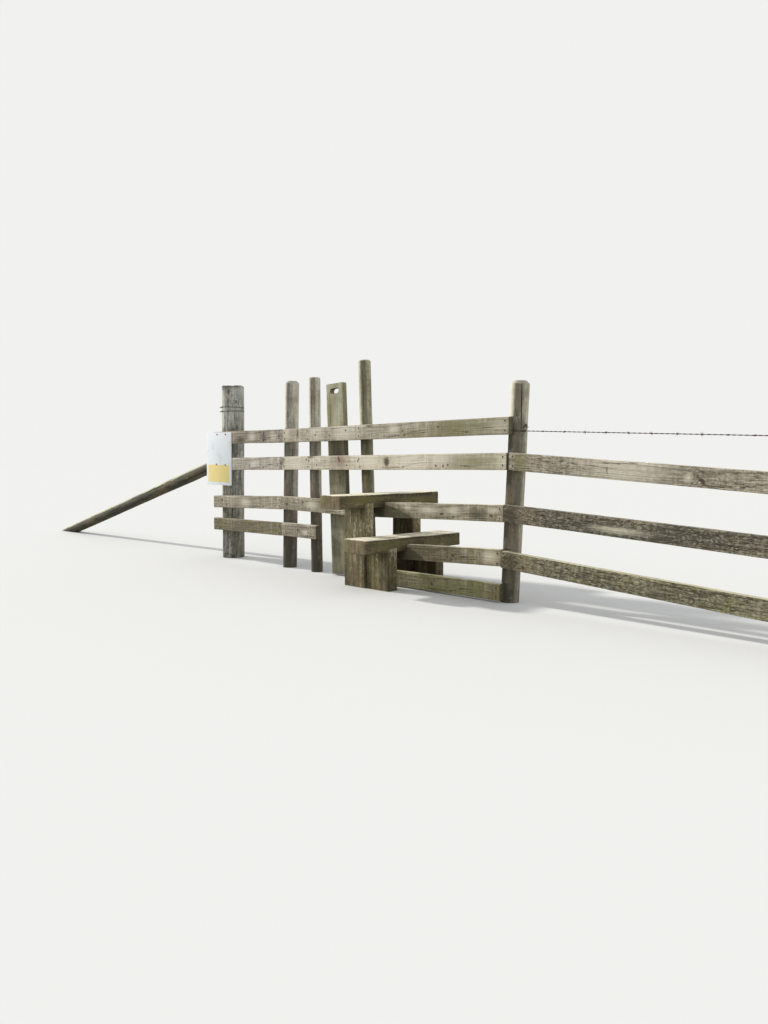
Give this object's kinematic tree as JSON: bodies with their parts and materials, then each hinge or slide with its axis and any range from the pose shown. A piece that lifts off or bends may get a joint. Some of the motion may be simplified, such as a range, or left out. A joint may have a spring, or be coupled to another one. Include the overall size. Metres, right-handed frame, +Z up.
{
  "type": "wooden stile",
  "caption": "Wooden step-over stile in a post and rail fence: two crossed treads on plank legs, a tall hand post and a lifting dog gate.",
  "frame": {"origin": "middle of the hand post's foot, on the ground", "axes": "+X along the fence to the right as seen from the road, +Y into the field, +Z up"},
  "size_m": [7.5283, 0.836, 1.3341],
  "materials": {
    "strainer_wood": "weathered, deeply fissured",
    "post_wood": "weathered, machine rounded",
    "strut_wood": "weathered round pole",
    "rail_wood": "weathered sawn softwood",
    "pale_rail_wood": "newer sawn softwood",
    "right_bay_wood": "rough sawn softwood",
    "tread_wood": "weathered, worn by feet",
    "gate_wood": "weathered, green tinged",
    "galvanised_wire": "old galvanised, dark with rust",
    "sign_sheet": "printed sheet, bare of words"
  },
  "bodies": {
    "stile": {"strainer_post": "strainer_wood", "left_post": "post_wood", "gate_post": "post_wood", "hand_post": "post_wood", "right_post": "post_wood", "end_post": "post_wood", "strainer_strut": "strut_wood", "strainer_wire_loops": "galvanised_wire", "right_bay_top_wire": "galvanised_wire", "left_bay_top_rail": "rail_wood", "left_bay_second_rail": "rail_wood", "left_bay_third_rail": "rail_wood", "left_bay_fourth_rail": "rail_wood", "top_rail": "rail_wood", "second_rail": "pale_rail_wood", "third_rail_left": "rail_wood", "third_rail_right": "rail_wood", "fourth_rail_left": "rail_wood", "fourth_rail_right": "rail_wood", "bottom_board": "rail_wood", "right_bay_second_rail": "right_bay_wood", "right_bay_third_rail": "right_bay_wood", "right_bay_fourth_rail": "right_bay_wood", "upper_tread": "tread_wood", "lower_tread": "tread_wood", "upper_tread_near_leg": "tread_wood", "upper_tread_far_leg": "tread_wood", "lower_tread_near_leg": "tread_wood", "lower_tread_far_leg": "tread_wood", "upper_keeper_cleats": "gate_wood", "upper_keeper_strap": "gate_wood", "lower_keeper_cleats": "gate_wood", "lower_keeper_strap": "gate_wood", "sign_plate": "sign_sheet"},
    "dog_gate": {"dog_gate_board": "gate_wood", "dog_gate_rest_batten": "gate_wood", "dog_gate_stop_batten": "gate_wood"}
  },
  "joints": [
    {"name": "dog_gate_lift", "type": "slide", "parent": "stile", "child": "dog_gate", "axis": [-0.0419, 0, 0.9991], "range_m": [0, 0.39]}
  ]
}
